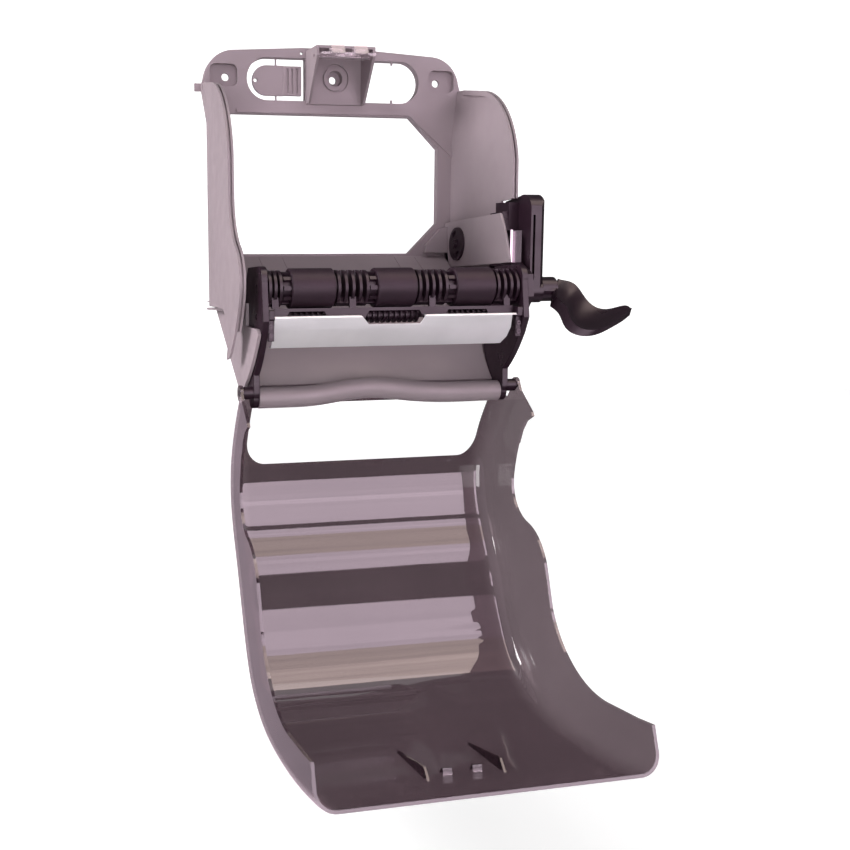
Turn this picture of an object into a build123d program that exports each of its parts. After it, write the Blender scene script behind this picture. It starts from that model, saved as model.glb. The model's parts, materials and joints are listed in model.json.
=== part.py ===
from build123d import *
from math import atan2, cos, degrees, hypot, pi, radians, sin, sqrt
import os

os.makedirs("parts", exist_ok=True)

# Frame of the part: X to the right, Y into the wall (wall plane at Y = 0), Z up.
# The origin is the middle screw hole, on the wall plane. Millimetres.

# Grey frame
body_half = 145.5
flare_in = 10.5
back_half = body_half - flare_in
flare_y = -40.0
wall_t = 2.5
plate_face = -9.7
plate_t = 2.6
plate_top = 31.0
plate_bottom = -238.0
screw_inset = 27.5
screw_pitch = body_half - screw_inset
screw_hole_r = 4.0
rim_t = 6.0
rim_depth = 5.0
groove_w = 1.8
rim_lip = 3.0
side_margin = 16.5
opening_half = back_half - side_margin
opening_top = -37.5
opening_bottom = -184.5
opening_corner = 33.0
opening_rim = 2.4

# Windows on both sides of the bracket
window_inset = 22.0
window_end = screw_pitch - window_inset
window_left_w = 64.0
window_right_w = 62.0
window_z = -1.5
window_half = 22.0

# Side edge of the frame, seen from the side (Y, Z)
edge_back = (0.0, -7.0)
edge_step = (-33.0, -12.0)
edge_top = (-76.0, -21.0)
edge_crown = (-128.0, -53.0)
edge_shoulder = (-149.0, -100.0)
edge_waist = (-149.5, -138.0)
edge_hollow = (-157.0, -164.0)
edge_swell = (-178.0, -185.0)
edge_bulge = (-196.5, -210.0)
edge_belly = (-192.0, -236.0)
edge_chin = (-174.0, -262.0)
edge_tail = (-146.0, -287.0)
edge_heel = (-131.0, -290.0)
edge_arch = (-142.0, -268.0)
edge_arch_mid = (-128.0, -249.0)
edge_sole = (-100.0, -241.0)

# Rollers
roller_y = -190.0
roller_z = -223.0
sleeve_r = 18.2
sleeve_bore_r = 15.2
shaft_r = 4.0
cage_r = 16.6
pinch_r = 7.2
pinch_y = -186.0
pinch_gap = 0.35
pinch_z = roller_z - sqrt((sleeve_r + pinch_r + pinch_gap) ** 2 - (pinch_y - roller_y) ** 2)
running_fit = 0.08

# End plates and side skirts
plate_step = 17.5
end_plate_t = 6.0
plate_out = body_half - plate_step
plate_in = plate_out - end_plate_t
skirt_gap = 0.6
skirt_t = 3.0
skirt_in = plate_out + skirt_gap
skirt_out = skirt_in + skirt_t

# Hinge, cover and bottom bar
hinge_y = -166.0
hinge_z = -319.5
hinge_r = 3.0
open_angle = 162.0
cover_step = 4.5
cover_half = body_half - cover_step
cover_t = 2.8
cover_round = 18.0
edge_gap = 1.2
exit_step = 18.0
exit_half = cover_half - exit_step
exit_top = -263.0
bar_y = -161.0
bar_z = -325.0
bar_r = 10.0
bar_half = plate_in - 0.1

# Gears: the lever's inner sector drives the roller's pinion, its outer one the idler
mesh_slack = 0.1
pinion_module = 1.5
pinion_teeth = 10
sector_teeth = 30
pinion_distance = pinion_module * (sector_teeth + pinion_teeth) / 2 + mesh_slack
lever_z = -226.0
lever_y = roller_y + sqrt(pinion_distance ** 2 - (lever_z - roller_z) ** 2)
pinion_dir = degrees(atan2(roller_z - lever_z, roller_y - lever_y))
idler_module = 2.0
idler_teeth = 16
outer_teeth = 24
idler_distance = idler_module * (outer_teeth + idler_teeth) / 2 + mesh_slack
idler_dir = 55.0
idler_y = lever_y + idler_distance * cos(radians(idler_dir))
idler_z = lever_z + idler_distance * sin(radians(idler_dir))
press_angle = 40.0
inner_gear_gap = 4.6
inner_gear_x = plate_out + inner_gear_gap
gear_t = 2.8
gear_gap = 0.4

# Lever box
lever_shaft_r = 5.0
idler_shaft_r = 3.0
box_step = 2.5
box_w = 15.0
box_in = body_half + box_step
box_out = box_in + box_w
box_front = -173.0
box_wall = 1.6
outer_gear_x = box_in + box_wall + 1.0
web_in = inner_gear_x + gear_t + gear_gap + box_wall
notch_back = -118.0
box_back = notch_back - 0.1

# Towel roll hubs
hub_y = -45.0
hub_z = -176.0
hub_r = 17.6
panel_gap = 1.0
panel_x = plate_out + panel_gap


def save(block, label):
    block.part.label = label
    export_step(block.part, "parts/" + label + ".step")


# Side view of the frame's walls
with BuildSketch(Plane.YZ) as side_edge:
    with BuildLine():
        Line(edge_back, edge_step)
        Line(edge_step, edge_top)
        ThreePointArc(edge_top, edge_crown, edge_shoulder)
        Line(edge_shoulder, edge_waist)
        ThreePointArc(edge_waist, edge_hollow, edge_swell)
        ThreePointArc(edge_swell, edge_bulge, edge_belly)
        ThreePointArc(edge_belly, edge_chin, edge_tail)
        Line(edge_tail, edge_heel)
        Line(edge_heel, edge_arch)
        ThreePointArc(edge_arch, edge_arch_mid, edge_sole)
        Line(edge_sole, (0, plate_bottom))
        Line((0, plate_bottom), edge_back)
    make_face()

with BuildSketch(Plane.YZ) as side_inner:
    add(side_edge.sketch_local)
    offset(amount=-rim_depth, kind=Kind.INTERSECTION, mode=Mode.REPLACE)

with BuildSketch(Plane.YZ) as side_groove:
    add(side_edge.sketch_local)
    offset(amount=-rim_lip, kind=Kind.INTERSECTION, mode=Mode.REPLACE)


# One side wall: flared at the back, straight at the front, with the double rim
with BuildPart() as wall_right:
    for z in (-66.0, 4.0):
        half = back_half if z < -60 else body_half - 0.5
        with BuildSketch(Plane.XY.offset(z)):
            Polygon(
                (half, 0), (body_half, flare_y), (body_half, -205), (body_half - wall_t, -205),
                (body_half - wall_t, flare_y - 0.5), (half - wall_t - 0.1, 0), align=None,
            )
    loft(ruled=True)
    with BuildSketch(Plane.XY.offset(-66)):
        Polygon(
            (back_half, 0), (body_half, flare_y), (body_half, -205), (body_half - wall_t, -205),
            (body_half - wall_t, flare_y - 0.5), (back_half - wall_t - 0.1, 0), align=None,
        )
    extrude(amount=-240)
    extrude(side_edge.sketch, amount=body_half + 5, mode=Mode.INTERSECT)
    with BuildSketch(Plane.YZ.offset(body_half - rim_t)):
        add(side_edge.sketch_local)
        add(side_inner.sketch_local, mode=Mode.SUBTRACT)
        with Locations((-20, -265)):
            Rectangle(150, 60, mode=Mode.SUBTRACT)
        with Locations((-120, -290)):
            Rectangle(150, 56, mode=Mode.SUBTRACT)
        with Locations((0, -150)):
            Rectangle(56, 400, mode=Mode.SUBTRACT)
    extrude(amount=rim_t)
    with BuildSketch(Plane.YZ.offset(body_half - 3.9)):
        add(side_edge.sketch_local)
        add(side_groove.sketch_local, mode=Mode.SUBTRACT)
        with Locations((-20, -262)):
            Rectangle(165, 66, mode=Mode.SUBTRACT)
        with Locations((0, -150)):
            Rectangle(64, 400, mode=Mode.SUBTRACT)
    extrude(amount=groove_w, mode=Mode.SUBTRACT)

with BuildPart() as wall_left:
    add(mirror(wall_right.part, about=Plane.YZ))
    with BuildSketch(Plane.XZ):
        with Locations((-body_half - 1.5, -11)):
            Rectangle(8, 8)
    extrude(amount=2.5)

# The right wall makes room for the lever box
with BuildPart() as wall_notched:
    add(wall_right.part)
    with BuildSketch(Plane.YZ.offset(body_half - rim_t - 2)):
        Polygon(
            (notch_back, -137), (-260, -137), (-260, -272), (-158, -272), (-150, -242),
            (notch_back, -242),
            align=None,
        )
    extrude(amount=rim_t + 4, mode=Mode.SUBTRACT)


def lozenge(x_round, x_flat, z_mid, half):
    """Window with one round end and one nearly square end."""
    turn = 1 if x_round > x_flat else -1
    with BuildLine() as edge:
        Line((x_flat, z_mid + half), (x_round - turn * half, z_mid + half))
        ThreePointArc(
            (x_round - turn * half, z_mid + half), (x_round, z_mid),
            (x_round - turn * half, z_mid - half),
        )
        Line((x_round - turn * half, z_mid - half), (x_flat, z_mid - half))
        Line((x_flat, z_mid - half), (x_flat, z_mid + half))
    make_face(edge.edges())


def windows(grow):
    half = window_half + grow
    lozenge(-window_end - grow, -window_end + window_left_w + grow, window_z, half)
    lozenge(window_end + grow, window_end - window_right_w - grow, window_z, half)


def rear_opening(grow):
    corner = opening_corner
    right = opening_half + 1
    Polygon(
        (-opening_half - grow, opening_top - 6), (-opening_half + 6, opening_top + grow),
        (right - corner, opening_top + grow), (right + grow, opening_top - corner),
        (right + grow, opening_bottom + corner), (right - corner, opening_bottom - grow),
        (-opening_half + 6, opening_bottom - grow), (-opening_half - grow, opening_bottom + 6),
        align=None,
    )


with BuildSketch(Plane.XZ) as plate_outline:
    with BuildLine():
        Line((0, plate_top), (36, plate_top))
        Line((36, plate_top), (body_half - 33.5, plate_top - 4.5))
        ThreePointArc(
            (body_half - 33.5, plate_top - 4.5), (body_half - 13, plate_top - 14),
            (body_half - 3.5, plate_top - 33),
        )
        Line((body_half - 3.5, plate_top - 33), (body_half - 1, plate_top - 41))
        Line((body_half - 1, plate_top - 41), (back_half + 1, -62))
        Line((back_half + 1, -62), (back_half, -75))
        Line((back_half, -75), (back_half, plate_bottom))
        Line((back_half, plate_bottom), (0, plate_bottom))
        Line((0, plate_bottom), (0, plate_top))
    make_face()
    mirror(about=Plane.YZ)

with BuildPart() as back_frame:
    extrude(plate_outline.sketch, amount=-plate_face, dir=(0, -1, 0))
    # Hollow back, with rims left round every window and screw boss
    with BuildSketch(Plane.XZ):
        add(plate_outline.sketch_local)
        offset(amount=-plate_t, kind=Kind.INTERSECTION, mode=Mode.REPLACE)
        with Locations((0, 0), (screw_pitch, 0), (-screw_pitch, 0)):
            Circle(9.5, mode=Mode.SUBTRACT)
    extrude(amount=-plate_face - plate_t, mode=Mode.SUBTRACT)
    with BuildSketch(Plane.XZ):
        rear_opening(opening_rim)
        windows(opening_rim)
    extrude(amount=-plate_face)
    # Raised bead above the rear opening
    with BuildSketch(Plane.XZ.offset(-plate_face)):
        bead_end = -opening_half + 10.5
        bead_knee = opening_half - opening_corner - 1.5
        bead_side = back_half + 1
        Polygon(
            (bead_end, -33), (bead_knee, -31.5), (bead_side, -76), (bead_side, -80),
            (bead_knee, -36), (bead_end, -37), align=None,
        )
    extrude(amount=1.8)
    with BuildSketch(Plane.XZ):
        rear_opening(0)
        windows(0)
    extrude(amount=14, mode=Mode.SUBTRACT)
    # Corner pockets round the outer screw holes
    with BuildSketch(Plane.XZ.offset(3.2)):
        with Locations((screw_pitch + 4, 1), (-screw_pitch - 3, 1)):
            RectangleRounded(30, 23, 7)
    extrude(amount=10, mode=Mode.SUBTRACT)
    with BuildSketch(Plane.XZ):
        with Locations((screw_pitch + 4, 1), (-screw_pitch - 3, 1)):
            RectangleRounded(33.6, 26.6, 8)
        with Locations((screw_pitch + 4, 1), (-screw_pitch - 3, 1)):
            RectangleRounded(30, 23, 7, mode=Mode.SUBTRACT)
    extrude(amount=-plate_face - 0.6)
    with BuildSketch(Plane.XZ):
        with Locations((screw_pitch + 4, 1), (-screw_pitch - 3, 1)):
            RectangleRounded(31, 24, 7)
    extrude(amount=3.2)
    # Round boss of the middle screw
    with BuildSketch(Plane.XZ.offset(-plate_face)):
        Circle(12.5)
    extrude(amount=2.4)
    with BuildSketch(Plane.XZ.offset(3.2)):
        Circle(8.2)
    extrude(amount=20, mode=Mode.SUBTRACT)
    with BuildSketch(Plane.XZ):
        with Locations((0, 0), (screw_pitch, 0), (-screw_pitch, 0)):
            Circle(screw_hole_r)
    extrude(amount=30, mode=Mode.SUBTRACT)
    with BuildSketch(Plane.XZ.offset(-plate_face - 4)):
        with Locations((-36.5, 25.5)):
            Circle(1.6)
    extrude(amount=8, mode=Mode.SUBTRACT)
    # Short stubs where a second key was broken out
    with BuildSketch(Plane.XZ.offset(-plate_face - 4)):
        with Locations((window_end - 30.5, 19), (window_end - 30.5, -22)):
            Rectangle(1.8, 4.4)
    extrude(amount=2)
    add(wall_left.part)
    add(wall_notched.part)
save(back_frame, "back_frame")

# Key moulded into the left window, held by two thin tabs
key_z = -3.0
key_half = 15.5
key_tip = -window_end + 6.0
key_block_w = 20.0
key_block = -window_end + window_left_w - 4.5 - key_block_w / 2
key_neck = key_block - key_block_w / 2 + 0.5
key_pin = key_neck - 8.0
with BuildPart() as break_off_key:
    with BuildSketch(Plane.XZ.offset(-plate_face - 4.6)):
        with BuildLine():
            Line((key_neck, key_z + key_half), (key_tip + 16, key_z + key_half))
            ThreePointArc(
                (key_tip + 16, key_z + key_half), (key_tip, key_z), (key_tip + 16, key_z - key_half),
            )
            Line((key_tip + 16, key_z - key_half), (key_neck, key_z - key_half))
            Line((key_neck, key_z - key_half), (key_neck, key_z + key_half))
        make_face()
        with Locations((key_tip + 3.5, key_z)):
            Circle(2.0, mode=Mode.SUBTRACT)
    extrude(amount=3)
    with BuildSketch(Plane.XZ.offset(-plate_face - 5.2)):
        with Locations((key_block, key_z)):
            Rectangle(key_block_w, 2 * key_half - 1)
    extrude(amount=4.6)
    # Upright grip grooves
    with BuildSketch(Plane.XZ.offset(-plate_face - 2.4)):
        with Locations((key_block, key_z)):
            with GridLocations(5.2, 1, 3, 1):
                Rectangle(2.2, 2 * key_half - 6)
    extrude(amount=4, mode=Mode.SUBTRACT)
    with BuildSketch(Plane.XZ.offset(-plate_face - 4.2)):
        with Locations((key_pin, 16.4), (key_pin, -19.4)):
            Rectangle(1.6, 8)
    extrude(amount=1.6)
save(break_off_key, "break_off_key")

# Box bracket that carries the latch
bracket_half = 31.5
bracket_top = 24.4
bracket_front = -52.0
bracket_rise = 3.4
bracket_bottom = -27.0
bracket_t = 2.5
latch_y = -41.0
latch_z = 16.5
latch_pin_r = 1.9
with BuildPart() as lock_bracket:
    with BuildSketch(Plane.YZ.offset(-bracket_half)):
        Polygon(
            (plate_face, bracket_top + bracket_rise), (bracket_front, bracket_top),
            (bracket_front, bracket_top - 10), (plate_face - 9.3, bracket_bottom),
            (plate_face, bracket_bottom), align=None,
        )
    extrude(amount=2 * bracket_half)
    with BuildSketch(Plane.YZ.offset(-bracket_half + bracket_t)):
        Polygon(
            (plate_face - 2.2, bracket_top + bracket_rise - 2.8), (bracket_front - 2, bracket_top - 2.8),
            (bracket_front - 2, -40), (plate_face - 2.2, -40), align=None,
        )
    extrude(amount=2 * (bracket_half - bracket_t), mode=Mode.SUBTRACT)
    with BuildSketch(Plane.XZ):
        Circle(15)
    extrude(amount=30, mode=Mode.SUBTRACT)
    with BuildSketch(Plane.YZ.offset(-bracket_half)):
        with Locations((latch_y, latch_z)):
            Circle(latch_pin_r + running_fit)
    extrude(amount=2 * bracket_half, mode=Mode.SUBTRACT)
save(lock_bracket, "lock_bracket")

# Clear latch on two pins, with two prongs standing in front of the bracket
with BuildPart() as lock_latch:
    with BuildSketch(Plane.YZ.offset(-bracket_half + bracket_t + 0.5)):
        with Locations((latch_y, latch_z)):
            Circle(3.2)
        Polygon(
            (latch_y, latch_z - 1.2), (-62, latch_z - 3.2), (-62, latch_z - 0.6),
            (latch_y, latch_z + 1.4), align=None,
        )
    extrude(amount=2 * (bracket_half - bracket_t - 0.5))
    with BuildSketch(Plane.XY.offset(latch_z - 8)):
        with Locations((0, -51)):
            RectangleRounded(24, 9, 3)
    extrude(amount=14, mode=Mode.SUBTRACT)
    for x in (-19.5, 5.0):
        with BuildSketch(Plane.YZ.offset(x)):
            Polygon(
                (-56, latch_z - 2), (-56, latch_z + 4.5), (-58.5, latch_z + 6.3),
                (-62, latch_z + 6.3), (-66, latch_z - 2.4), (-62, latch_z - 3.2), align=None,
            )
        extrude(amount=14.5)
    with BuildSketch(Plane.YZ.offset(-bracket_half + 0.4)):
        with Locations((latch_y, latch_z)):
            Circle(latch_pin_r)
    extrude(amount=2 * bracket_half - 0.8)
save(lock_latch, "lock_latch")

# Inner panel of the lever box, with the hub seat
with BuildPart() as gear_panel:
    with BuildSketch(Plane.YZ.offset(panel_x)):
        with BuildLine():
            Line((plate_face, -151), (-145, -151))
            ThreePointArc((-145, -151), (-160, -178), (-167, -200))
            Line((-167, -200), (-22, -200.5))
            Line((-22, -200.5), (plate_face, -188))
            Line((plate_face, -188), (plate_face, -151))
        make_face()
        with Locations((hub_y, hub_z)):
            Circle(hub_r + running_fit, mode=Mode.SUBTRACT)
    extrude(amount=2.4)
    with BuildSketch(Plane.YZ.offset(panel_x + 2.4)):
        Polygon((-42, -151), (-116, -151), (-116, -153.4), (-42, -153.4), align=None)
    extrude(amount=body_half - wall_t - panel_x - 2.4 - 0.1)
    with BuildSketch(Plane.XZ.offset(-plate_face + 0.1)):
        Polygon(
            (panel_x, -156), (panel_x - 8.5, -158), (panel_x - 25, -176), (panel_x - 25, -184),
            (panel_x, -184), align=None,
        )
    extrude(amount=7)
save(gear_panel, "gear_panel")


def stub_hub(side):
    """Round hub with a notched face, turning in its seat; side is +1 right, -1 left."""
    with BuildPart() as hub:
        with BuildSketch(Plane.YZ.offset(side * (panel_x - 2.6))):
            with Locations((hub_y, hub_z)):
                Circle(hub_r)
        extrude(amount=side * 4.4)
        with BuildSketch(Plane.YZ.offset(side * (panel_x + 1.8))):
            with Locations((hub_y, hub_z)):
                Circle(6)
        extrude(amount=side * 8)
        with BuildSketch(Plane.YZ.offset(side * (panel_x - 2.6))):
            with Locations((hub_y, hub_z)):
                with PolarLocations(11.5, 2, start_angle=70):
                    Rectangle(5, 9)
        extrude(amount=side * 2.2, mode=Mode.SUBTRACT)
        with BuildSketch(Plane.YZ.offset(side * (panel_x - 2.6))):
            with Locations((hub_y, hub_z)):
                Circle(4.4)
        extrude(amount=-side * 3)
    return hub


hub_right = stub_hub(1)
save(hub_right, "stub_hub_right")
hub_left = stub_hub(-1)
save(hub_left, "stub_hub_left")

# Seat of the left hub, hidden behind the left wall
with BuildPart() as hub_seat_left:
    with BuildSketch(Plane.YZ.offset(-panel_x - 2.4)):
        Polygon(
            (plate_face, -151), (-70, -151), (-78, -200.5), (-22, -200.5), (plate_face, -188),
            align=None,
        )
        with Locations((hub_y, hub_z)):
            Circle(hub_r + running_fit, mode=Mode.SUBTRACT)
    extrude(amount=2.4)
    with BuildSketch(Plane.YZ.offset(-panel_x - 2.4)):
        Polygon((-42, -151), (-70, -151), (-70, -153.4), (-42, -153.4), align=None)
    extrude(amount=-(body_half - wall_t - panel_x - 2.4 - 0.1))
save(hub_seat_left, "hub_seat_left")

# Inclined shelf behind the rollers, and the chute that leads down to the bar
shelf_t = 2.4
with BuildPart() as shelf_panel:
    with BuildSketch(Plane.YZ.offset(-plate_out + 0.4)):
        Polygon(
            (plate_face, opening_bottom - 2.6), (plate_face, opening_bottom - 6),
            (-106, -247), (-108, -244.6), align=None,
        )
    extrude(amount=2 * (plate_out - 0.4))
    for x in (-86, -60, 68, 92):
        with BuildSketch(Plane.YZ.offset(x)):
            Polygon(
                (plate_face - 2, opening_bottom + 1), (plate_face - 2, opening_bottom - 4.6),
                (-110, -246.6), (-110, -240), align=None,
            )
        extrude(amount=0.8, mode=Mode.SUBTRACT)
save(shelf_panel, "shelf_panel")

with BuildPart() as paper_chute:
    with BuildSketch(Plane.YZ.offset(-plate_in + 0.4)):
        with BuildLine():
            Line((-109, -247.6), (-121, -262))
            ThreePointArc((-121, -262), (-133.5, -294), (-151, -314))
            Line((-151, -314), (-149.5, -316.2))
            ThreePointArc((-149.5, -316.2), (-131.2, -294.6), (-118.6, -262.6))
            Line((-118.6, -262.6), (-106.5, -249))
            Line((-106.5, -249), (-109, -247.6))
        make_face()
    extrude(amount=2 * (plate_in - 0.4))
save(paper_chute, "paper_chute")


def skirt_outline(inset):
    """Side view of the lower body, cut back at the front by the inset."""
    with BuildLine() as edge:
        Line((-1, -238.3), (-99.4, -241.2))
        Line((-99.4, -241.2), (-150, -257))
        Line((-150, -257), (-203 + inset, -259))
        Line((-203 + inset, -259), (-208 + inset, -264))
        ThreePointArc((-208 + inset, -264), (-187 + inset / 2, -286), (-146, -315.5))
        Line((-146, -315.5), (-122, -320))
        Line((-122, -320), (-1, -241.5))
        Line((-1, -241.5), (-1, -238.3))
    make_face(edge.edges())


# Lower body: grey skirts outside the black end plates, joined by the sloping underside
with BuildPart() as lower_body:
    with BuildSketch(Plane.YZ.offset(skirt_in)):
        skirt_outline(8)
    extrude(amount=skirt_out - skirt_in)
    with BuildSketch(Plane.YZ.offset(-skirt_in)):
        skirt_outline(0)
    extrude(amount=skirt_in - skirt_out)
    with BuildSketch(Plane.YZ.offset(-skirt_in)):
        Polygon((-1, -238.6), (-1, -241.5), (-122, -320), (-124, -317.6), align=None)
    extrude(amount=2 * skirt_in)
    with BuildSketch(Plane.XZ):
        with Locations((skirt_out + 4.6, -242.4), (-skirt_out - 4.6, -242.4)):
            Rectangle(10, 2.2)
    extrude(amount=98)
    # Tab that clips to the left wall
    with BuildSketch(Plane.YZ.offset(-skirt_in)):
        Polygon((-139, -236), (-158, -236), (-158, -260), (-139, -256), align=None)
    extrude(amount=skirt_in - skirt_out)
save(lower_body, "lower_body")


def end_plate(side):
    """Black side plate that carries the rollers."""
    with BuildPart() as piece:
        with BuildSketch(Plane.YZ.offset(side * plate_in)):
            with BuildLine():
                Line((-152, -203), (-196, -203))
                ThreePointArc((-196, -203), (-205, -207), (-208, -218))
                Line((-208, -218), (-213, -252))
                ThreePointArc((-213, -252), (-192, -284), (-151, -315.5))
                ThreePointArc((-151, -315.5), (-133.5, -294), (-126, -262))
                Line((-126, -262), (-126, -236))
                Line((-126, -236), (-152, -203))
            make_face()
            Polygon(
                (-145, -308), (-172, -300), (hinge_y - 6.5, hinge_z), (bar_y - 6, bar_z - 6),
                (bar_y + 9, bar_z), align=None,
            )
            with Locations((bar_y, bar_z)):
                Circle(bar_r - 0.4)
            with Locations((hinge_y, hinge_z)):
                Circle(6.5)
            with Locations((roller_y, roller_z)):
                Circle(shaft_r + running_fit, mode=Mode.SUBTRACT)
            with Locations((pinch_y, pinch_z)):
                Circle(2.5 + running_fit, mode=Mode.SUBTRACT)
        extrude(amount=side * (plate_out - plate_in))
        # Stiffening rib round the shaft, on the outer face
        with BuildSketch(Plane.YZ.offset(side * (plate_in - 1.2))):
            with Locations((roller_y, roller_z)):
                Circle(7.5)
                Circle(shaft_r + running_fit, mode=Mode.SUBTRACT)
        extrude(amount=side * 1.2)
    return piece


plate_left = end_plate(-1)
save(plate_left, "left_end_plate")
plate_right = end_plate(1)
save(plate_right, "right_end_plate")

# Drive roller: shaft, hubs under the sleeves and the toothed collars
sleeves = {
    "left": (-plate_in + 22.5, -plate_in + 64.5),
    "centre": (-18.5, 20.0),
    "right": (plate_in - 64.0, plate_in - 24.5),
}
collar_w = 7.0
with BuildPart() as drive_roller:
    with BuildSketch(Plane.YZ.offset(-plate_out + 0.4)):
        with Locations((roller_y, roller_z)):
            Circle(shaft_r)
    extrude(amount=plate_out - 0.4 + inner_gear_x + gear_t)
    for x0, x1 in sleeves.values():
        with BuildSketch(Plane.YZ.offset(x0)):
            with Locations((roller_y, roller_z)):
                Circle(sleeve_bore_r)
        extrude(amount=x1 - x0)
        with BuildSketch(Plane.YZ.offset(x0 - collar_w)):
            with Locations((roller_y, roller_z)):
                Circle(12.0)
                with PolarLocations(13.2, 10):
                    Rectangle(4.0, 3.6)
        extrude(amount=collar_w)
save(drive_roller, "drive_roller")


def sleeve(name):
    x0, x1 = sleeves[name]
    with BuildPart() as piece:
        with BuildSketch(Plane.YZ.offset(x0)):
            with Locations((roller_y, roller_z)):
                Circle(sleeve_r)
        extrude(amount=x1 - x0)
        chamfer(piece.edges().filter_by(GeomType.CIRCLE).sort_by(Axis.X)[0], length=0.8)
        chamfer(piece.edges().filter_by(GeomType.CIRCLE).sort_by(Axis.X)[-1], length=1.6, length2=4.0)
        with BuildSketch(Plane.YZ.offset(x0 - 1)):
            with Locations((roller_y, roller_z)):
                Circle(sleeve_bore_r + 0.02)
        extrude(amount=x1 - x0 + 2, mode=Mode.SUBTRACT)
    return piece


sleeve_left = sleeve("left")
save(sleeve_left, "sleeve_left")
sleeve_centre = sleeve("centre")
save(sleeve_centre, "sleeve_centre")
sleeve_right = sleeve("right")
save(sleeve_right, "sleeve_right")


def cage(x0, x1, rings):
    """Ribbed paper guide between two sleeves: thin rings joined by a web with a round hole."""
    ring_t = 2.6
    with BuildPart() as piece:
        for k in range(rings):
            x = x0 + (x1 - x0 - ring_t) * k / (rings - 1)
            with BuildSketch(Plane.YZ.offset(x)):
                with Locations((roller_y, roller_z)):
                    Circle(cage_r)
                    Circle(shaft_r + 1.2, mode=Mode.SUBTRACT)
                    with Locations((0, 12)):
                        Rectangle(5.5, 30, mode=Mode.SUBTRACT)
            extrude(amount=ring_t)
        with BuildSketch(Plane.YZ.offset(x0)):
            with Locations((roller_y - 6, roller_z - 12.2)):
                Rectangle(7, 6, rotation=-25)
            with Locations((roller_y + 11, roller_z - 9)):
                Rectangle(6, 7, rotation=-40)
        extrude(amount=x1 - x0)
        with BuildSketch(Plane.XZ.offset(-roller_y)):
            with Locations(((x0 + x1) / 2, roller_z - 12)):
                Circle(2.6)
        extrude(amount=30, mode=Mode.SUBTRACT)
        # Foot that sits on the guide plate
        with BuildSketch(Plane.YZ.offset((x0 + x1) / 2 - 3)):
            with Locations((roller_y, roller_z)):
                Polygon((-7, -8), (-12, -8), (-13.2, -17.9), (-9.5, -17.9), align=None)
        extrude(amount=6)
    return piece


cage_gap = 1.2
collar_gap = 1.4
cage_end = plate_in - 1.6
with BuildPart() as roller_cages:
    starts = [-cage_end] + [x1 + cage_gap for x0, x1 in sleeves.values()]
    stops = [x0 - collar_w - collar_gap for x0, x1 in sleeves.values()] + [cage_end]
    for start, stop, rings in zip(starts, stops, (3, 5, 5, 4)):
        add(cage(start, stop, rings).part)
save(roller_cages, "roller_cages")

# Pinch roller under the sleeves: three ribbed runs on one shaft
run_starts = (-plate_in + 17.0, -30.0, plate_in - 75.0)
rib_counts = (8, 11, 9)
rib_pitch = 5.4
rib_w = 2.4
with BuildPart() as pinch_roller:
    with BuildSketch(Plane.YZ.offset(-plate_out + 0.6)):
        with Locations((pinch_y, pinch_z)):
            Circle(2.5)
    extrude(amount=2 * plate_out - 1.2)
    for x0, count in zip(run_starts, rib_counts):
        with BuildSketch(Plane.YZ.offset(x0)):
            with Locations((pinch_y, pinch_z)):
                Circle(4.6)
        extrude(amount=rib_pitch * (count - 1) + rib_w)
        for k in range(count):
            with BuildSketch(Plane.YZ.offset(x0 + rib_pitch * k)):
                with Locations((pinch_y, pinch_z)):
                    Circle(pinch_r)
            extrude(amount=rib_w)
save(pinch_roller, "pinch_roller")

# Dark plate in front of the pinch roller, cut away where the ribs show
block_w = 5.5
bar_end = plate_in - block_w
with BuildPart() as guide_plate:
    with BuildSketch(Plane.XZ.offset(-roller_y + 11.5)):
        with Locations((0, roller_z - 23.5)):
            Rectangle(2 * bar_end - 2, 11)
        for x0, count in zip(run_starts, rib_counts):
            wide = rib_pitch * (count - 1) + rib_w
            with Locations((x0 + wide / 2, roller_z - 25.8)):
                Trapezoid(wide + 4, 10, 60, mode=Mode.SUBTRACT)
    extrude(amount=1.8)
save(guide_plate, "guide_plate")

# Tear bar: folded sheet with a notch in the middle
sheet = 1.2
with BuildPart() as tear_bar:
    with BuildSketch(Plane.YZ.offset(-bar_end)):
        Polygon(
            (-204.5, -247.6), (-209.4, -248.0), (-210.2, -249.2), (-207.4, -261.2), (-193.2, -276.6),
            (-184.5, -277.2), (-184.5, -276), (-192.7, -275.4), (-206.2, -260.7), (-208.6, -250.0),
            (-208.0, -249.1), (-204.5, -248.8), align=None,
        )
    extrude(amount=2 * bar_end)
    with BuildSketch(Plane.XZ.offset(180)):
        Polygon((-37, -240), (-36, -247.4), (-28, -256), (21.5, -256), (26.5, -248), (27, -240),
                align=None)
        Polygon((bar_end - 4.5, -249.6), (bar_end - 4.5, -270), (bar_end - 10, -280), (bar_end + 13.5, -280),
                (bar_end + 13.5, -249.6), align=None)
    extrude(amount=40, mode=Mode.SUBTRACT)
save(tear_bar, "tear_bar")

# Black blocks that hold the ends of the bar and of the guide plate
with BuildPart() as bar_blocks:
    for side in (-1, 1):
        with BuildSketch(Plane.YZ.offset(side * (bar_end + 0.1))):
            with Locations((-204.5, -246.6)):
                RectangleRounded(13, 9, 1.2)
            with Locations((-205.5, -259)):
                Rectangle(4, 22)
        extrude(amount=side * (plate_in - bar_end - 0.1))
save(bar_blocks, "bar_blocks")

with BuildPart() as assembly_screws:
    for x in (-(bar_end + plate_in) / 2, (bar_end + plate_in) / 2):
        for z in (-257.0, -265.0):
            with BuildSketch(Plane.XZ.offset(207.5)):
                with Locations((x, z)):
                    Circle(2.2)
                    Rectangle(2.6, 0.7, mode=Mode.SUBTRACT)
            extrude(amount=1.2)
save(assembly_screws, "assembly_screws")

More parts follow.
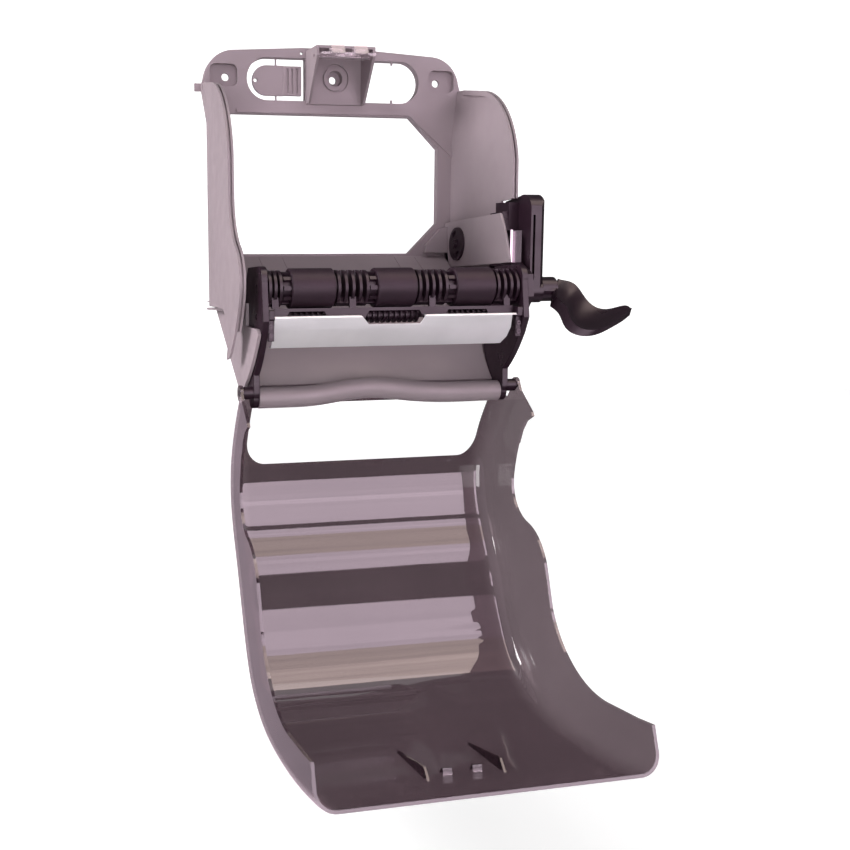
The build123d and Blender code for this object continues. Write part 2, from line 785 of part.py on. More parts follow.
# Bottom bar with a wavy rise in the middle
with BuildPart() as grip_bar:
    with BuildLine(Plane.XZ.offset(-bar_y)) as wave:
        Spline((-bar_half, bar_z), (-100, bar_z), (-66, bar_z + 0.8), (-14, bar_z + 6.6),
               (30, bar_z + 2.4), (66, bar_z), (100, bar_z), (bar_half, bar_z))
    with BuildSketch(Plane.YZ.offset(-bar_half)):
        with Locations((bar_y, bar_z)):
            Circle(bar_r)
    sweep(path=wave.line)
save(grip_bar, "grip_bar")

with BuildPart() as hinge_pins:
    for side in (-1, 1):
        with BuildSketch(Plane.YZ.offset(side * plate_out)):
            with Locations((hinge_y, hinge_z)):
                Circle(6)
        extrude(amount=side * (cover_half - cover_t - plate_out - 0.5))
        with BuildSketch(Plane.YZ.offset(side * plate_out)):
            with Locations((hinge_y, hinge_z)):
                Circle(hinge_r)
        extrude(amount=side * (cover_half - plate_out - 0.3))
save(hinge_pins, "hinge_pins")

# Lever box: outer leg, web behind the slot, inner leg and the cover of the inner gears
with BuildSketch(Plane.YZ) as box_outline:
    with BuildLine():
        Line((box_back, -137.5), (-150, -135))
        ThreePointArc((-150, -135), (-166, -137.5), (box_front, -147))
        Line((box_front, -147), (box_front, -226))
        ThreePointArc((box_front, -226), (-171, -235), (-165, -239))
        Line((-165, -239), (box_back, -239))
        Line((box_back, -239), (box_back, -137.5))
    make_face()

gear_cover_points = (
    (box_back, -200.2), (-176, -200.2), (-200, -212), (-202, -233), (-192, -245), (box_back, -245),
)
with BuildPart() as lever_housing:
    with BuildSketch(Plane.YZ.offset(box_in)):
        add(box_outline.sketch_local)
    extrude(amount=box_out - box_in)
    chamfer(lever_housing.faces().sort_by(Axis.X)[-1].edges().filter_by(Axis.Z).sort_by(Axis.Y)[0],
            length=4.0, length2=3.0)
    with BuildSketch(Plane.YZ.offset(box_in + box_wall)):
        add(box_outline.sketch_local)
        offset(amount=-box_wall, kind=Kind.INTERSECTION, mode=Mode.REPLACE)
        with Locations((box_back, -188)):
            Rectangle(20, 96)
    extrude(amount=box_out - box_in - 2 * box_wall, mode=Mode.SUBTRACT)
    # Web behind the slot, carried forward under it
    with BuildSketch(Plane.YZ.offset(web_in)):
        Polygon(
            (box_back, -139), (-147, -141), (-147, -206), (-170, -208), (-170, -238),
            (box_back, -238), align=None,
        )
    extrude(amount=box_in - web_in)
    # Inner leg
    with BuildSketch(Plane.YZ.offset(panel_x + 2.5)):
        Polygon((box_back, -149.5), (-145, -149.5), (-150, -168), (box_back, -168), align=None)
    extrude(amount=web_in - panel_x - 2.5)
    # Cover of the inner gears: a wall with a rim
    with BuildSketch(Plane.YZ.offset(panel_x + 2.7)):
        Polygon(*gear_cover_points, align=None)
        offset(amount=-box_wall, kind=Kind.INTERSECTION, mode=Mode.SUBTRACT)
    extrude(amount=web_in - panel_x - 2.7)
    with BuildSketch(Plane.YZ.offset(web_in - box_wall)):
        Polygon(*gear_cover_points, align=None)
    extrude(amount=box_wall)
    with BuildSketch(Plane.YZ.offset(web_in - box_wall - 1)):
        with Locations((lever_y, lever_z)):
            Circle(lever_shaft_r + running_fit)
    extrude(amount=40, mode=Mode.SUBTRACT)
    # Narrow window that shows the idler's teeth
    with BuildSketch(Plane.XZ.offset(-box_front + 2)):
        with Locations((box_in + box_wall + 1.8, -186)):
            Rectangle(2.4, 62)
    extrude(amount=-6, mode=Mode.SUBTRACT)
    # Axle of the idler
    with BuildSketch(Plane.YZ.offset(box_in)):
        with Locations((idler_y, idler_z)):
            Circle(idler_shaft_r)
    extrude(amount=box_out - box_in)
save(lever_housing, "lever_housing")

# Bright sheet-metal bracket between the legs of the box
with BuildPart() as steel_bracket:
    with BuildSketch(Plane.XY.offset(-199.5)):
        Polygon(
            (panel_x + 2.6, -162), (panel_x + 3.6, -162), (panel_x + 4.4, -149.4),
            (web_in + 1.6, -148.4), (box_in - 0.4, -154), (box_in - 0.4, -155.2),
            (web_in + 1.6, -149.8), (panel_x + 5.6, -150.6), (panel_x + 4.8, -163.4),
            (panel_x + 2.6, -163.4), align=None,
        )
    extrude(amount=31)
save(steel_bracket, "steel_bracket")


def teeth(module, count, y, z, angles):
    """Straight-sided gear teeth at the given angles, in a side-view sketch."""
    radius = module * count / 2
    slim = 0.85
    add_h = 0.8 * module
    sink = 1.4 * module
    rise = 0.364
    wide = pi * module / 2 - slim + 2 * sink * rise
    for angle in angles:
        mid = radius + (add_h - sink) / 2
        spot = (y + mid * cos(radians(angle)), z + mid * sin(radians(angle)))
        with Locations(spot):
            Trapezoid(wide, add_h + sink, 70, rotation=angle - 90)


def pie(radius, y, z, start, stop):
    """Sector of a disc between two angles, in a side-view sketch."""
    def rim(angle):
        return (y + radius * cos(radians(angle)), z + radius * sin(radians(angle)))

    with BuildLine() as edge:
        Line((y, z), rim(start))
        ThreePointArc(rim(start), rim((start + stop) / 2), rim(stop))
        Line(rim(stop), (y, z))
    make_face(edge.edges())


def sector(module, count, direction):
    """Toothed sector about the lever's axis, with a tooth on the line of centres."""
    step = 360 / count
    first = -int((press_angle + 10) / step) - 1
    angles = [direction + step * k for k in range(first, 2)]
    pie(module * (count / 2 - 1.2), lever_y, lever_z, angles[0] - step / 3, angles[-1] + step / 3)
    teeth(module, count, lever_y, lever_z, angles)
    with Locations((lever_y, lever_z)):
        Circle(8)


def round_gear(module, count, y, z, facing, bore):
    """Whole gear with a tooth space facing the driving sector."""
    step = 360 / count
    with Locations((y, z)):
        Circle(module * (count / 2 - 1.2))
    teeth(module, count, y, z, [facing + step * (k + 0.5) for k in range(count)])
    with Locations((y, z)):
        Circle(bore + running_fit, mode=Mode.SUBTRACT)


with BuildPart() as idler_gear:
    with BuildSketch(Plane.YZ.offset(outer_gear_x)):
        round_gear(idler_module, idler_teeth, idler_y, idler_z, idler_dir + 180, idler_shaft_r)
    extrude(amount=gear_t)
save(idler_gear, "idler_gear")

with BuildPart() as roller_gear:
    with BuildSketch(Plane.YZ.offset(inner_gear_x)):
        round_gear(pinion_module, pinion_teeth, roller_y, roller_z, pinion_dir + 180, shaft_r)
    extrude(amount=gear_t)
save(roller_gear, "roller_gear")

# Lever: shaft with both sectors, round neck and the S-shaped dished paddle
neck_r = 12.0
neck_gap = 0.4
neck_end = 16.0
dish = 2.5
lip = 8.5
paddle_back_t = 8.0

# Paddle sections from the box outwards: distance from the box, height over the lever's
# axis, lean of the section, half its height, then its rear and front edge from the axis
paddle_sections = (
    (12.0, -3.0, 32, 15.5, -4.0, -21.0),
    (17.1, -6.4, 42, 18.8, -7.0, -29.0),
    (24.3, -17.2, 46, 22.1, -12.0, -37.0),
    (31.9, -27.9, 48, 21.9, -15.0, -43.0),
    (41.7, -32.0, 45, 19.0, -18.0, -46.0),
    (54.5, -31.3, 40, 14.5, -20.0, -45.0),
    (67.4, -27.3, 33, 10.4, -22.0, -41.0),
    (78.0, -23.5, 22, 7.2, -26.0, -36.0),
    (82.5, -22.3, 12, 4.5, -28.0, -34.0),
)


def paddle_section(x, half, back, front):
    """Section with a dished face from its rear edge down to the crest of the front lip."""
    tall = lip + 5 * max(0, 1 - x / 30)
    crest = min(tall - half, half - 1.6)
    span = hypot(back - front, half - crest)
    deep = dish * span / 45
    middle = (
        (back + front) / 2 + deep * (half - crest) / span,
        (half + crest) / 2 - deep * (back - front) / span,
    )
    heel = (back + 1.5, half - min(paddle_back_t, 2 * half - 1.2))
    with BuildLine() as edge:
        ThreePointArc((back, half), middle, (front, crest))
        Line((front, crest), (front + 1, -half))
        Line((front + 1, -half), heel)
        Line(heel, (back, half))
    make_face(edge.edges())


with BuildPart() as lever:
    for x, z, lean, half, back, front in paddle_sections:
        turn = radians(lean)
        side = Plane(
            origin=(box_out + x, lever_y, lever_z + z), x_dir=(0, 1, 0),
            z_dir=(cos(turn), 0, -sin(turn)),
        )
        with BuildSketch(side):
            paddle_section(x, half, back, front)
    loft()
    with BuildSketch(Plane.YZ.offset(box_out + neck_gap)):
        with Locations((lever_y, lever_z)):
            Circle(neck_r)
    extrude(amount=neck_end - neck_gap)
    with BuildSketch(Plane.YZ.offset(panel_x + 2.9)):
        with Locations((lever_y, lever_z)):
            Circle(lever_shaft_r)
    extrude(amount=box_out + 2 - panel_x - 2.9)
    with BuildSketch(Plane.YZ.offset(inner_gear_x)):
        sector(pinion_module, sector_teeth, pinion_dir)
    extrude(amount=gear_t)
    with BuildSketch(Plane.YZ.offset(outer_gear_x)):
        sector(idler_module, outer_teeth, idler_dir)
    extrude(amount=gear_t)
save(lever, "lever")

# Cover, drawn shut in the side plane of the closed cover, then laid open about the hinge
open_turn = radians(open_angle)
shut = Plane(
    origin=(0, hinge_y, hinge_z),
    x_dir=(0, cos(open_turn), sin(open_turn)),
    z_dir=(1, 0, 0),
)


shut_front = Plane(
    origin=(0, hinge_y, hinge_z), x_dir=(1, 0, 0), z_dir=(0, -cos(open_turn), -sin(open_turn)),
)


def rel(point):
    return (point[0] - hinge_y, point[1] - hinge_z)


front_points = (
    (-172.0, -328.0), (-211.0, -302.0), (-246.0, -266.0), (-260.0, -225.0), (-253.0, -165.0),
    (-244.0, -110.0), (-228.0, -52.0), (-190.0, -12.0), (-130.0, 13.0), (-62.0, 27.0),
    (-20.0, 31.0),
)


def front_line(inset):
    """Points of the front skin, moved inwards by the inset."""
    moved = []
    for i, p in enumerate(front_points):
        a = front_points[max(i - 1, 0)]
        b = front_points[min(i + 1, len(front_points) - 1)]
        span = hypot(b[0] - a[0], b[1] - a[1])
        nx = (b[1] - a[1]) / span
        nz = -(b[0] - a[0]) / span
        moved.append(rel((p[0] + nx * inset, p[1] + nz * inset)))
    return moved


def cover_body(inset, half, back):
    pts = front_line(inset)
    with BuildPart() as body:
        with BuildSketch(shut.offset(-half)):
            with BuildLine():
                Spline(*pts)
                Line(pts[-1], (back - hinge_y, pts[-1][1]))
                Line((back - hinge_y, pts[-1][1]), (back - hinge_y, pts[0][1]))
                Line((back - hinge_y, pts[0][1]), pts[0])
            make_face()
        extrude(amount=2 * half)
    return body


# The closed cover stops a gap in front of the frame's side edges
with BuildSketch(Plane.YZ) as cover_edge:
    add(side_edge.sketch_local)
    offset(amount=edge_gap, kind=Kind.INTERSECTION, mode=Mode.REPLACE)
    with Locations((-95, -322)):
        Rectangle(200, 120, mode=Mode.SUBTRACT)
    with Locations((30, -160)):
        Rectangle(2 * (30 - plate_face + edge_gap), 288)
    Polygon(
        (-100, -230), (-180, -230), (-183, -248), (-174, -262), (-164, -273), (-153, -280), (-139, -282),
        (-140, -286), (-157, -311), (-159, -322), (-163, -331), (0, -331), (0, -230), align=None,
    )

with BuildPart() as cover:
    add(cover_body(0, cover_half, plate_face - edge_gap).part)
    fillet(cover.edges().filter_by(GeomType.BSPLINE), radius=cover_round)
    with BuildPart(mode=Mode.PRIVATE) as hollow:
        add(cover_body(cover_t, cover_half - cover_t, 20).part)
        fillet(hollow.edges().filter_by(GeomType.BSPLINE), radius=cover_round - cover_t)
    add(hollow.part, mode=Mode.SUBTRACT)
    # Side edges
    with BuildSketch(shut.offset(-cover_half - 1)):
        with Locations((-hinge_y, -hinge_z)):
            add(cover_edge.sketch_local)
    extrude(amount=2 * cover_half + 2, mode=Mode.SUBTRACT)
    # Paper exit
    with BuildSketch(shut_front.offset(24)):
        with Locations((0, exit_top - hinge_z - 50)):
            RectangleRounded(2 * exit_half, 100, 20)
    extrude(amount=90, mode=Mode.SUBTRACT)
    # The arms pass outside the bottom bar and turn on the pins
    with BuildSketch(shut.offset(-cover_half + cover_t + 0.4)):
        Circle(19)
    extrude(amount=2 * (cover_half - cover_t - 0.4), mode=Mode.SUBTRACT)
    with BuildSketch(shut.offset(-cover_half)):
        Circle(7.5)
    extrude(amount=cover_t)
    with BuildSketch(shut.offset(cover_half - cover_t)):
        Circle(7.5)
    extrude(amount=cover_t)
    with BuildSketch(shut.offset(-cover_half - 1)):
        Circle(hinge_r + running_fit)
    extrude(amount=2 * cover_half + 2, mode=Mode.SUBTRACT)
    # Catch teeth and the ribs beside them
    for x in (-17.0, 9.0):
        with BuildSketch(shut.offset(x)):
            Polygon(
                rel((-68.5, 24.2)), rel((-77, 22.5)), rel((-71.5, 17.5)), rel((-68.5, 17.5)),
                align=None,
            )
        extrude(amount=8)
    for x in (-34.0, 32.0):
        with BuildSketch(shut.offset(x)):
            Polygon(rel((-60, 25)), rel((-140, 8)), rel((-66, 14)), align=None)
        extrude(amount=2)
save(cover, "cover")
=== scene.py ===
"""Studio scene of an open roll towel dispenser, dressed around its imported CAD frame."""
import json
import logging
import math
from dataclasses import dataclass
from enum import Enum
from typing import Iterable, Sequence

import bmesh
import bpy
import numpy as np
from mathutils import Matrix, Vector


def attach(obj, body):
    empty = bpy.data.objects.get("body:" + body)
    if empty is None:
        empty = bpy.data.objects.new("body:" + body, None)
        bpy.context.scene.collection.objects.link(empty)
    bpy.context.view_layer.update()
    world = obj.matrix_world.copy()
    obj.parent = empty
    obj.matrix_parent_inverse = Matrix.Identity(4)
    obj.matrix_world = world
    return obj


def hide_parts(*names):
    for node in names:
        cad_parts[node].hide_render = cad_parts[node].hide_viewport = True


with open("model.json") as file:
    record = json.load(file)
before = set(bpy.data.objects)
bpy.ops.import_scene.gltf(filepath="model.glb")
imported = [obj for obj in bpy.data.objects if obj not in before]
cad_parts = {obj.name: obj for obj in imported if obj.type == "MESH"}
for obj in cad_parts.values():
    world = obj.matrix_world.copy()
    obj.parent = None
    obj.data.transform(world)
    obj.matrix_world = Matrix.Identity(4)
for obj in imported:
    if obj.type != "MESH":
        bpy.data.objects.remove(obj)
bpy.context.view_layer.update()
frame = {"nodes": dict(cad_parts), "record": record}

MM = 0.001

MERGE_DISTANCE = 2e-6
CUT_DISTANCE = 1e-6
FLAT_ANGLE = 0.6
SMOOTH_ANGLE = 35.0
BEVEL_ANGLE = 30.0
BEVEL_SEGMENTS = 2
NOISE_LOW = 0.3
NOISE_HIGH = 0.7

logging.basicConfig(level=logging.INFO, format="%(message)s")
log = logging.getLogger("dispenser")

Point = tuple[float, float, float]
Colour = tuple[float, float, float]
Curve = tuple[np.ndarray, np.ndarray, np.ndarray]
Socket = bpy.types.NodeSocket


class Body(Enum):
    """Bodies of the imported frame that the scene's own pieces ride on."""

    FRAME = "frame"
    COVER = "cover"
    LEVER = "lever"
    LATCH = "latch"
    DRIVE = "drive"
    PINCH = "pinch"
    HUB_RIGHT = "hub_right"
    HUB_LEFT = "hub_left"


class NodeGraph:
    """Small helper around a material's node tree."""

    def __init__(self, name: str) -> None:
        """Start a new material with a Principled shader and object coordinates.

        Args:
            name: Name of the material.
        """
        self.material = bpy.data.materials.new(name)
        self.material.use_nodes = True
        self.tree = self.material.node_tree
        self.shader = self.tree.nodes["Principled BSDF"]
        self.output = self.tree.nodes["Material Output"]
        self.coords = self.add("ShaderNodeTexCoord")

    def add(self, kind: str, **values: object) -> bpy.types.Node:
        """Add a node and set its properties and input values.

        Args:
            kind: Blender's node type.
            **values: Properties by name, or inputs by name with spaces as underscores.

        Returns:
            The new node.
        """
        node = self.tree.nodes.new(kind)
        for key, value in values.items():
            socket = key.replace("_", " ")
            if hasattr(node, key):
                setattr(node, key, value)
            elif socket in node.inputs:
                node.inputs[socket].default_value = value
            else:
                raise KeyError(f"{kind} has no {key}")
        return node

    def link(self, source: Socket, target: Socket) -> None:
        """Join an output socket to an input socket."""
        self.tree.links.new(source, target)

    def feed(self, name: str, source: Socket) -> None:
        """Join an output socket to the Principled shader's input of that name."""
        self.link(source, self.shader.inputs[name])

    def surface(self, source: Socket) -> None:
        """Make a shader the material's surface."""
        self.link(source, self.output.inputs["Surface"])

    def set(self, **values: object) -> None:
        """Set the Principled shader's own sockets, with underscores for spaces."""
        for key, value in values.items():
            self.shader.inputs[key.replace("_", " ")].default_value = value

    def place(self, scale: Sequence[float] = (1, 1, 1)) -> Socket:
        """Object coordinates through a Mapping node.

        Args:
            scale: Scale along X, Y and Z.

        Returns:
            The mapped vector socket.
        """
        node = self.add("ShaderNodeMapping", Scale=scale)
        self.link(self.coords.outputs["Object"], node.inputs["Vector"])
        return node.outputs["Vector"]

    def noise(self, vector: Socket, scale: float, detail: float = 3.0, rough: float = 0.5) -> Socket:
        """Noise texture's factor on a vector.

        Args:
            vector: Where the pattern is read.
            scale: Number of cells per metre.
            detail: Octaves of finer noise.
            rough: Strength of each finer octave.

        Returns:
            The factor socket.
        """
        node = self.add("ShaderNodeTexNoise", Scale=scale, Detail=detail, Roughness=rough)
        self.link(vector, node.inputs["Vector"])
        return node.outputs["Fac"]

    def spread(self, factor: Socket, low: float, high: float) -> Socket:
        """Map a noise factor to a range.

        Args:
            factor: The socket that drives the range.
            low: Value where the noise is low.
            high: Value where the noise is high.

        Returns:
            The mapped value socket.
        """
        node = self.add(
            "ShaderNodeMapRange", From_Min=NOISE_LOW, From_Max=NOISE_HIGH, To_Min=low, To_Max=high,
        )
        self.link(factor, node.inputs["Value"])
        return node.outputs["Result"]

    def tint(self, factor: Socket, colour: Colour, low: float, high: float) -> Socket:
        """Vary a colour's lightness by a noise factor.

        Args:
            factor: The socket that drives the blend.
            colour: The middle colour.
            low: Times the colour where the noise is low.
            high: Times the colour where the noise is high.

        Returns:
            The colour socket.
        """
        node = self.add("ShaderNodeValToRGB")
        node.color_ramp.elements[0].position = NOISE_LOW
        node.color_ramp.elements[0].color = (*shade(colour, low), 1)
        node.color_ramp.elements[1].position = NOISE_HIGH
        node.color_ramp.elements[1].color = (*shade(colour, high), 1)
        self.link(factor, node.inputs["Fac"])
        return node.outputs["Color"]

    def bump(self, layers: Iterable[tuple[Socket, float]]) -> None:
        """Chain bump layers into the shader's normal.

        Args:
            layers: Height sockets, each with its relief in metres.
        """
        last = None
        for height, relief in layers:
            node = self.add("ShaderNodeBump", Strength=1.0, Distance=relief)
            self.link(height, node.inputs["Height"])
            if last is not None:
                self.link(last, node.inputs["Normal"])
            last = node.outputs["Normal"]
        self.feed("Normal", last)

    def choose(self, ray: str, other: Socket, this: Socket) -> Socket:
        """Choose a shader by the kind of ray.

        Args:
            ray: Light Path's output for that kind.
            other: Shader for all other rays.
            this: Shader for rays of that kind.

        Returns:
            The shader socket.
        """
        path = self.add("ShaderNodeLightPath")
        mix = self.add("ShaderNodeMixShader")
        self.link(path.outputs[ray], mix.inputs["Fac"])
        self.link(other, mix.inputs[1])
        self.link(this, mix.inputs[2])
        return mix.outputs[0]


def shade(colour: Colour, factor: float) -> Colour:
    """Colour made darker or lighter by a factor."""
    return tuple(channel * factor for channel in colour)


@dataclass(frozen=True)
class MouldedPlastic:
    """Opaque moulded plastic with a fine spark-eroded grain and slow flow marks.

    Attributes:
        name: Name of the material.
        slot: The record's material slot.
        colour: Middle colour.
        rough_low: Roughness in the smoother flow marks.
        rough_high: Roughness in the duller flow marks.
        grain: Grains per metre.
        relief: Depth of the grain in metres.
        mottle: How far the colour varies either way.
        gloss: Specular level.
        ior: Index of refraction.
        cloud_scale: Colour clouds per metre.
        flow_scale: Flow marks per metre.
        flow_relief: Depth of a flow mark, times that of the grain.
    """

    name: str
    slot: str
    colour: Colour
    rough_low: float
    rough_high: float
    grain: float = 1400.0
    relief: float = 0.00002
    mottle: float = 0.05
    gloss: float = 0.45
    ior: float = 1.48
    cloud_scale: float = 14.0
    flow_scale: float = 60.0
    flow_relief: float = 1.5

    def build(self) -> bpy.types.Material:
        """Make the material of this finish.

        Returns:
            The material.
        """
        graph = NodeGraph(self.name)
        spot = graph.place()
        cloud = graph.noise(spot, self.cloud_scale, 3.0)
        fine = graph.noise(spot, self.grain, 2.0, 0.6)
        flow = graph.noise(graph.place(scale=(0.35, 1.0, 1.0)), self.flow_scale, 4.0)
        graph.feed("Base Color", graph.tint(cloud, self.colour, 1 - self.mottle, 1 + self.mottle))
        graph.feed("Roughness", graph.spread(flow, self.rough_low, self.rough_high))
        graph.set(IOR=self.ior, Specular_IOR_Level=self.gloss)
        graph.bump(((fine, self.relief), (flow, self.relief * self.flow_relief)))
        return graph.material


@dataclass(frozen=True)
class SleeveRubber:
    """Ground rubber sleeve: matte, with fine rings from the grinding wheel.

    Attributes:
        name: Name of the material.
        slot: The record's material slot.
        colour: Middle colour.
        rough_low: Roughness where it is clean.
        rough_high: Roughness where it is dusty.
        gloss: Specular level.
        ring_scale: Grinding rings per metre.
        ring_relief: Depth of a ring in metres.
        dust_scale: Grains of dust per metre.
        dust_relief: Depth of a grain in metres.
        cloud_scale: Colour clouds per metre.
    """

    name: str = "sleeve_rubber"
    slot: str = "sleeve_rubber"
    colour: Colour = (0.027, 0.012, 0.021)
    rough_low: float = 0.42
    rough_high: float = 0.6
    gloss: float = 0.28
    ring_scale: float = 1600.0
    ring_relief: float = 0.00003
    dust_scale: float = 900.0
    dust_relief: float = 0.00002
    cloud_scale: float = 40.0

    def build(self) -> bpy.types.Material:
        """Make the material of this finish.

        Returns:
            The material.
        """
        graph = NodeGraph(self.name)
        rings = graph.noise(graph.place(scale=(1.0, 0.03, 0.03)), self.ring_scale, 2.0)
        dust = graph.noise(graph.place(), self.dust_scale, 4.0, 0.7)
        cloud = graph.noise(graph.place(), self.cloud_scale, 3.0)
        graph.feed("Base Color", graph.tint(cloud, self.colour, 0.85, 1.15))
        graph.feed("Roughness", graph.spread(dust, self.rough_low, self.rough_high))
        graph.set(Specular_IOR_Level=self.gloss)
        graph.bump(((rings, self.ring_relief), (dust, self.dust_relief)))
        return graph.material


@dataclass(frozen=True)
class SheetMetal:
    """Rolled sheet with fine lines along its length.

    Attributes:
        name: Name of the material.
        slot: The record's material slot.
        colour: Middle colour.
        rough_low: Roughness in the brighter lines.
        rough_high: Roughness in the duller lines.
        along: Scale of the lines along X, Y and Z, smallest the way they run.
        metallic: Share of metal against a pale coat.
        line_scale: Lines per metre.
        relief: Depth of a line in metres.
        cloud_scale: Colour clouds per metre.
    """

    name: str
    slot: str
    colour: Colour
    rough_low: float
    rough_high: float
    along: Point = (0.02, 1.0, 1.0)
    metallic: float = 1.0
    line_scale: float = 1800.0
    relief: float = 0.000006
    cloud_scale: float = 30.0

    def build(self) -> bpy.types.Material:
        """Make the material of this finish.

        Returns:
            The material.
        """
        graph = NodeGraph(self.name)
        lines = graph.noise(graph.place(scale=self.along), self.line_scale, 3.0, 0.6)
        cloud = graph.noise(graph.place(), self.cloud_scale, 3.0)
        graph.feed("Base Color", graph.tint(cloud, self.colour, 0.95, 1.04))
        graph.feed("Roughness", graph.spread(lines, self.rough_low, self.rough_high))
        graph.set(Metallic=self.metallic)
        graph.bump(((lines, self.relief),))
        return graph.material


@dataclass(frozen=True)
class ClearPlastic:
    """Glossy see-through plastic that tints what is behind each surface.

    Attributes:
        name: Name of the material.
        slot: The record's material slot.
        colour: Colour of the plastic's own body.
        passes: Colour that comes through near the middle of the object; where it is darker than
            side_passes, this is painted shade.
        side_passes: Colour that comes through at its sides.
        side_at: Distances from the middle, in metres, between which one turns to the other.
        roughness: Middle roughness.
        ripple: Depth of the slow ripples in metres.
        ior: Index of refraction.
        cloud_scale: Colour clouds and ripples per metre.
        wipe_scale: Wiping marks per metre.
    """

    name: str
    slot: str
    colour: Colour
    passes: Colour
    side_passes: Colour
    side_at: tuple[float, float] = (0.118, 0.137)
    roughness: float = 0.022
    ripple: float = 0.00004
    ior: float = 1.55
    cloud_scale: float = 9.0
    wipe_scale: float = 55.0

    def build(self) -> bpy.types.Material:
        """Make the material of this finish.

        Returns:
            The material.
        """
        graph = NodeGraph(self.name)
        cloud = graph.noise(graph.place(), self.cloud_scale, 2.0)
        wipe = graph.noise(graph.place(scale=(0.25, 1.0, 1.0)), self.wipe_scale, 4.0)
        graph.feed("Base Color", graph.tint(cloud, self.colour, 0.85, 1.15))
        graph.feed("Roughness", graph.spread(wipe, self.roughness * 0.7, self.roughness * 1.6))
        graph.set(IOR=self.ior)
        graph.bump(((cloud, self.ripple),))
        through = graph.add("ShaderNodeBsdfTransparent")
        graph.link(self.depth(graph, cloud), through.inputs["Color"])
        both = graph.add("ShaderNodeAddShader")
        graph.link(graph.shader.outputs[0], both.inputs[0])
        graph.link(through.outputs[0], both.inputs[1])
        graph.surface(both.outputs[0])
        return graph.material

    def depth(self, graph: NodeGraph, cloud: Socket) -> Socket:
        """Colour that comes through, blended from the middle to the sides; a darker middle is
        painted shade.

        Args:
            graph: The material's nodes.
            cloud: Noise factor of the colour clouds.

        Returns:
            The colour socket.
        """
        split = graph.add("ShaderNodeSeparateXYZ")
        graph.link(graph.place(), split.inputs[0])
        away = graph.add("ShaderNodeMath", operation="ABSOLUTE")
        graph.link(split.outputs["X"], away.inputs[0])
        side = graph.add("ShaderNodeMapRange", From_Min=self.side_at[0], From_Max=self.side_at[1])
        graph.link(away.outputs[0], side.inputs["Value"])
        blend = graph.add("ShaderNodeMix", data_type="RGBA")
        graph.link(side.outputs["Result"], blend.inputs["Factor"])
        graph.link(graph.tint(cloud, self.passes, 0.97, 1.03), blend.inputs[6])
        graph.link(graph.tint(cloud, self.side_passes, 0.97, 1.03), blend.inputs[7])
        return blend.outputs[2]


FINISHES = (
    MouldedPlastic("frame_grey", "frame_grey", (0.34, 0.27, 0.3), 0.34, 0.5),
    MouldedPlastic(
        "mechanism_black", "mechanism_black", (0.023, 0.01, 0.018), 0.26, 0.4,
        grain=1100.0, gloss=0.28,
    ),
    SleeveRubber(),
    SheetMetal("bar_metal", "bar_metal", (0.8, 0.77, 0.8), 0.3, 0.42, metallic=0.3),
    SheetMetal(
        "bracket_steel", "bracket_steel", (0.3, 0.27, 0.29), 0.1, 0.2, along=(1.0, 1.0, 0.05),
    ),
    ClearPlastic(
        "latch_clear", "latch_clear", (0.12, 0.11, 0.115), (0.7, 0.66, 0.68), (0.7, 0.66, 0.68),
    ),
    # Painted shade: the cover's panel passes a darker colour than its side walls.
    ClearPlastic(
        "cover_smoke", "cover_smoke", (0.014, 0.008, 0.011), (0.24, 0.2, 0.215),
        (0.34, 0.3, 0.315),
    ),
    SheetMetal("screw_steel", "screw_steel", (0.05, 0.042, 0.047), 0.35, 0.5),
)


class Paint:
    """Built materials by slot, and the way pieces take them."""

    def __init__(self) -> None:
        """Build each finish once."""
        self.by_slot = {finish.slot: finish.build() for finish in FINISHES}
        self.slot_of = {
            part["node"]: part["material_slot"] for part in frame["record"]["subparts"]
        }

    def dress(self, piece: bpy.types.Object, slot: str) -> None:
        """Give a piece the material of a slot."""
        piece.data.materials.clear()
        piece.data.materials.append(self.by_slot[slot])

    def dress_nodes(self) -> None:
        """Give each CAD node its finish in its own material slots."""
        for name, piece in frame["nodes"].items():
            material = self.by_slot[self.slot_of[name]]
            for holder in piece.material_slots:
                holder.material = material


def merged_copy(node: str) -> bmesh.types.BMesh:
    """Copy a CAD node's triangles, merged, with its flat faces made whole.

    Args:
        node: Name of the CAD node.

    Returns:
        The copy as a bmesh.
    """
    mesh = bmesh.new()
    mesh.from_mesh(frame["nodes"][node].data)
    bmesh.ops.remove_doubles(mesh, verts=mesh.verts, dist=MERGE_DISTANCE)
    bmesh.ops.dissolve_limit(
        mesh, angle_limit=math.radians(FLAT_ANGLE), verts=mesh.verts, edges=mesh.edges,
    )
    return mesh


def link(mesh: bmesh.types.BMesh, name: str) -> bpy.types.Object:
    """Turn a bmesh into a linked object at the origin.

    Args:
        mesh: The finished bmesh, freed here.
        name: Name of the object.

    Returns:
        The new object.
    """
    data = bpy.data.meshes.new(name)
    mesh.to_mesh(data)
    mesh.free()
    piece = bpy.data.objects.new(name, data)
    bpy.context.scene.collection.objects.link(piece)
    data.shade_smooth()
    data.set_sharp_from_angle(angle=math.radians(SMOOTH_ANGLE))
    return piece


def soften(piece: bpy.types.Object, width: float) -> None:
    """Round a piece's edges with a bevel and even normals.

    Args:
        piece: The object.
        width: Width of the rounding in metres.
    """
    bevel = piece.modifiers.new("rounded_edges", "BEVEL")
    bevel.width = width
    bevel.segments = BEVEL_SEGMENTS
    bevel.limit_method = "ANGLE"
    bevel.angle_limit = math.radians(BEVEL_ANGLE)
    bevel.harden_normals = False
    bevel.use_clamp_overlap = True
    even = piece.modifiers.new("even_normals", "WEIGHTED_NORMAL")
    even.keep_sharp = False


